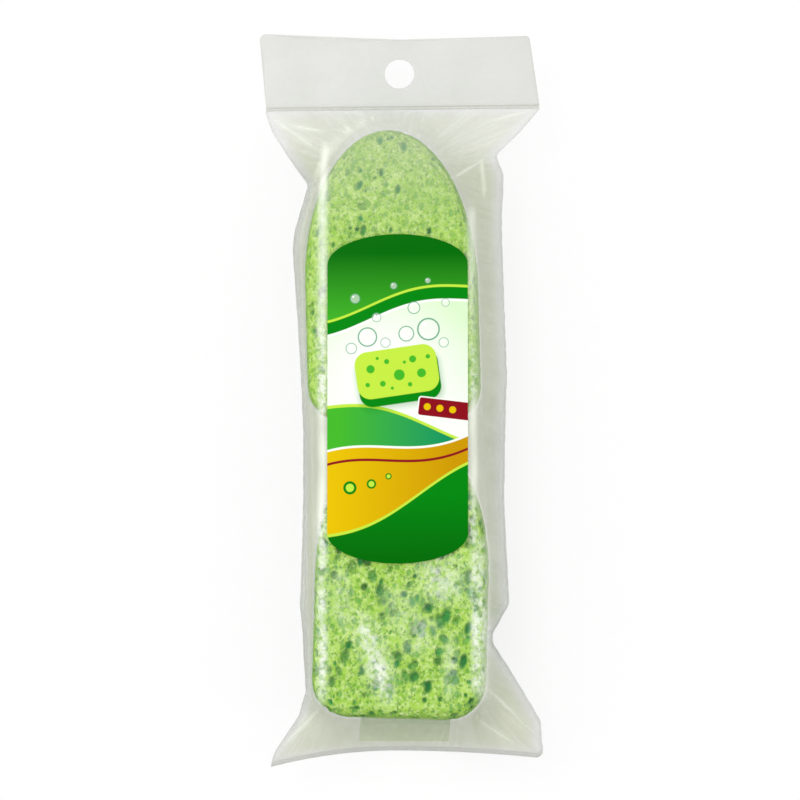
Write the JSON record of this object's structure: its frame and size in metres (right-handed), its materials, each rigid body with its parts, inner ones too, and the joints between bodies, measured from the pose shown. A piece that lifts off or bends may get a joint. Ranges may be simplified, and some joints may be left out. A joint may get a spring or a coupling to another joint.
{
  "type": "sponge refill pack",
  "caption": "Clear hanging film bag with a punched header, holding green cellulose dish wand sponge refills end to end on moulded push-fit bases.",
  "frame": {"origin": "centre of the pack's outline, on the surface that its back lies on", "axes": "+X to the right seen from the front, +Y towards the hang hole, +Z out of the front face"},
  "size_m": [0.0908, 0.2362, 0.0344],
  "materials": {
    "film": "hazy clear polyethylene film, 0.06 mm",
    "header_film": "two layers of hazy film, pressed flat",
    "weld": "heat-sealed film",
    "label_front": "gloss-coated paper, printed",
    "label_back": "plain white paper",
    "sponge": "open-pored cellulose, dry",
    "glue": "hot-melt glue",
    "base": "moulded polypropylene"
  },
  "bodies": {
    "bag": {"bag_front_film": "film", "bag_back_film": "film", "header_seal": "weld", "bottom_seal": "weld", "front_label": "label_front", "back_label": "label_back"},
    "header": {"header_tab": "header_film"},
    "upper_refill": {"upper_sponge": "sponge", "upper_glue": "glue", "upper_base_plate": "base", "upper_rail_left": "base", "upper_rail_right": "base", "upper_stop": "base"},
    "upper_latch_left": {"upper_latch_left": "base"},
    "upper_latch_right": {"upper_latch_right": "base"},
    "lower_refill": {"lower_sponge": "sponge", "lower_glue": "glue", "lower_base_plate": "base", "lower_rail_left": "base", "lower_rail_right": "base", "lower_stop": "base"},
    "lower_latch_left": {"lower_latch_left": "base"},
    "lower_latch_right": {"lower_latch_right": "base"}
  },
  "joints": [
    {"name": "header_fold", "type": "hinge", "parent": "bag", "child": "header", "pos_m": [0, 0.09495, 0.01713], "axis": [1, 0, 0], "range_deg": [-90, 100], "stiffness_Nm_per_rad": 0.006},
    {"name": "upper_refill_shift", "type": "slide", "parent": "bag", "child": "upper_refill", "axis": [-0.0262, 0.9997, 0], "range_m": [0, 0.0015]},
    {"name": "upper_latch_left_flex", "type": "hinge", "parent": "upper_refill", "child": "upper_latch_left", "pos_m": [-0.01474, 0.01316, 0.00475], "axis": [0, 0, -1], "range_deg": [0, 6], "stiffness_Nm_per_rad": 0.3},
    {"name": "upper_latch_right_flex", "type": "hinge", "parent": "upper_refill", "child": "upper_latch_right", "pos_m": [0.01165, 0.01385, 0.00475], "axis": [0, 0, 1], "range_deg": [0, 6], "stiffness_Nm_per_rad": 0.3},
    {"name": "lower_refill_shift", "type": "slide", "parent": "bag", "child": "lower_refill", "axis": [0.0262, 0.9997, 0], "range_m": [-0.0015, 0]},
    {"name": "lower_latch_left_flex", "type": "hinge", "parent": "lower_refill", "child": "lower_latch_left", "pos_m": [-0.01265, -0.08015, 0.00475], "axis": [0, 0, -1], "range_deg": [0, 6], "stiffness_Nm_per_rad": 0.3},
    {"name": "lower_latch_right_flex", "type": "hinge", "parent": "lower_refill", "child": "lower_latch_right", "pos_m": [0.01374, -0.08084, 0.00475], "axis": [0, 0, 1], "range_deg": [0, 6], "stiffness_Nm_per_rad": 0.3}
  ]
}
